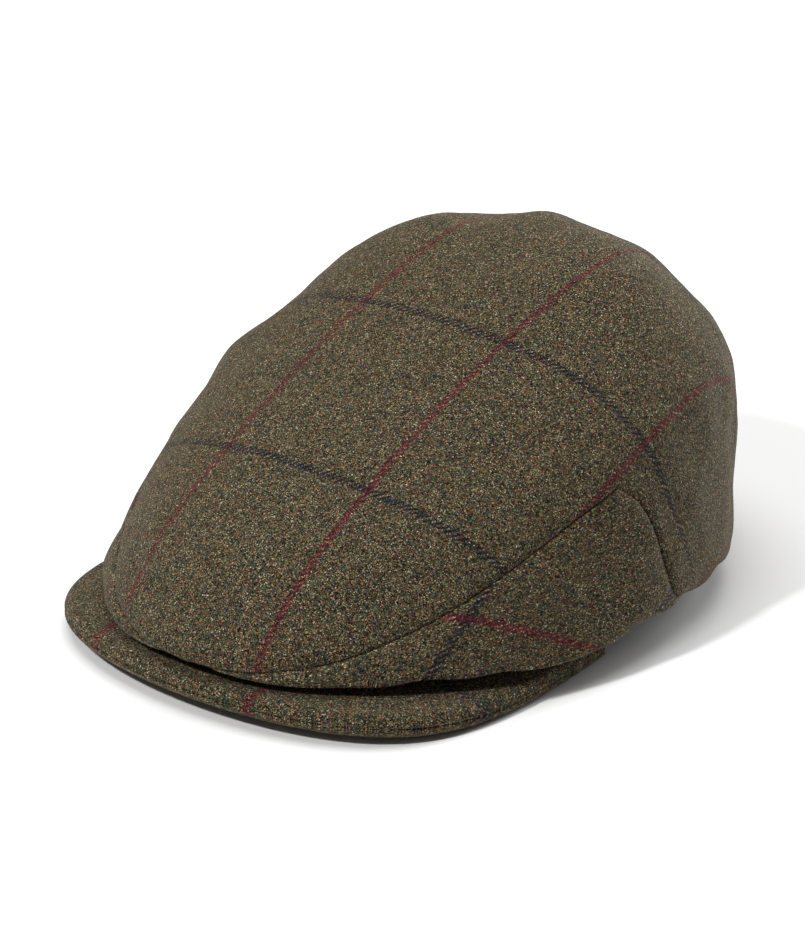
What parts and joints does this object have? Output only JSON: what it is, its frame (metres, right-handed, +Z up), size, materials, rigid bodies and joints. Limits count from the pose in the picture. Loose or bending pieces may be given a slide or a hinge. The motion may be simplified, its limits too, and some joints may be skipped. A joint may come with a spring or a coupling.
{
  "type": "flat cap",
  "caption": "Tweed flat cap with a low rounded crown that slopes to a short padded peak, curved side panels, a lining and a sweatband.",
  "frame": {"origin": "centre of the bounding box on the surface that the cap lies on, open side down", "axes": "+Z up through the crown, -Y towards the tip of the peak (front), +X towards the wearer's left"},
  "size_m": [0.1924, 0.2421, 0.1083],
  "materials": {
    "tweed": "woollen twill tweed, dark olive brown with mixed flecks, crimson and navy check lines",
    "lining": "smooth satin lining",
    "band": "ribbed cotton band",
    "board": "matt moulded board",
    "wadding": "felted wadding",
    "label": "woven ribbon, blank"
  },
  "bodies": {
    "crown": {"crown_top": "tweed", "side_panel_left": "tweed", "side_panel_right": "tweed", "lining_top": "lining", "lining_side_left": "lining", "lining_side_right": "lining", "sweatband": "band", "sweatband_join_tape": "band", "maker_label": "label", "size_label": "label", "care_label": "label"},
    "peak": {"peak_cover_top": "tweed", "peak_cover_under": "tweed", "peak_board": "board", "peak_wadding": "wadding"}
  },
  "joints": [
    {"name": "peak_flex", "type": "hinge", "parent": "crown", "child": "peak", "pos_m": [0, -0.004, 0.009], "axis": [-1, 0, 0], "range_deg": [-2, 10], "stiffness_Nm_per_rad": 1.5, "springref_deg": 0.92, "deforming": ["crown_top", "side_panel_left", "side_panel_right", "lining_top", "lining_side_left", "lining_side_right", "sweatband"]}
  ]
}
